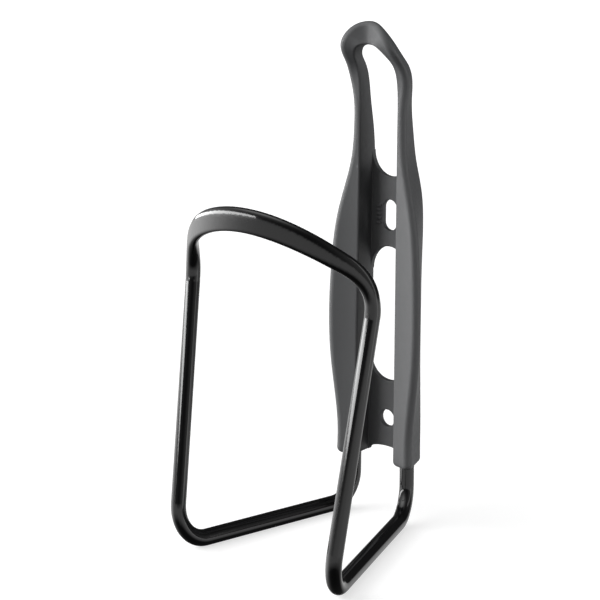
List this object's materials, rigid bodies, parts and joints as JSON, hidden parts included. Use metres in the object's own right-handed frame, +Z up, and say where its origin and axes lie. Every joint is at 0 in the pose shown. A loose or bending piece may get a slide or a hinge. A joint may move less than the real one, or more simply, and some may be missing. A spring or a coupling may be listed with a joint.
{
  "type": "water bottle cage",
  "caption": "Bicycle water bottle cage: a bent wire hoop with a flattened front band, its ends held in a moulded spine that bolts to the frame tube.",
  "frame": {"origin": "centre of the round lower bolt hole, on the face that rests against the bicycle", "axes": "+Z up along the bottle, +Y into the bicycle tube, the bottle side faces -Y, X across the cage"},
  "size_m": [0.07, 0.085, 0.156],
  "materials": {
    "wire_hoop": "gloss black on aluminium",
    "spine": "satin charcoal, moulded glass-filled nylon"
  },
  "bodies": {
    "root": {"wire_hoop": "wire_hoop", "spine": "spine"}
  },
  "joints": []
}
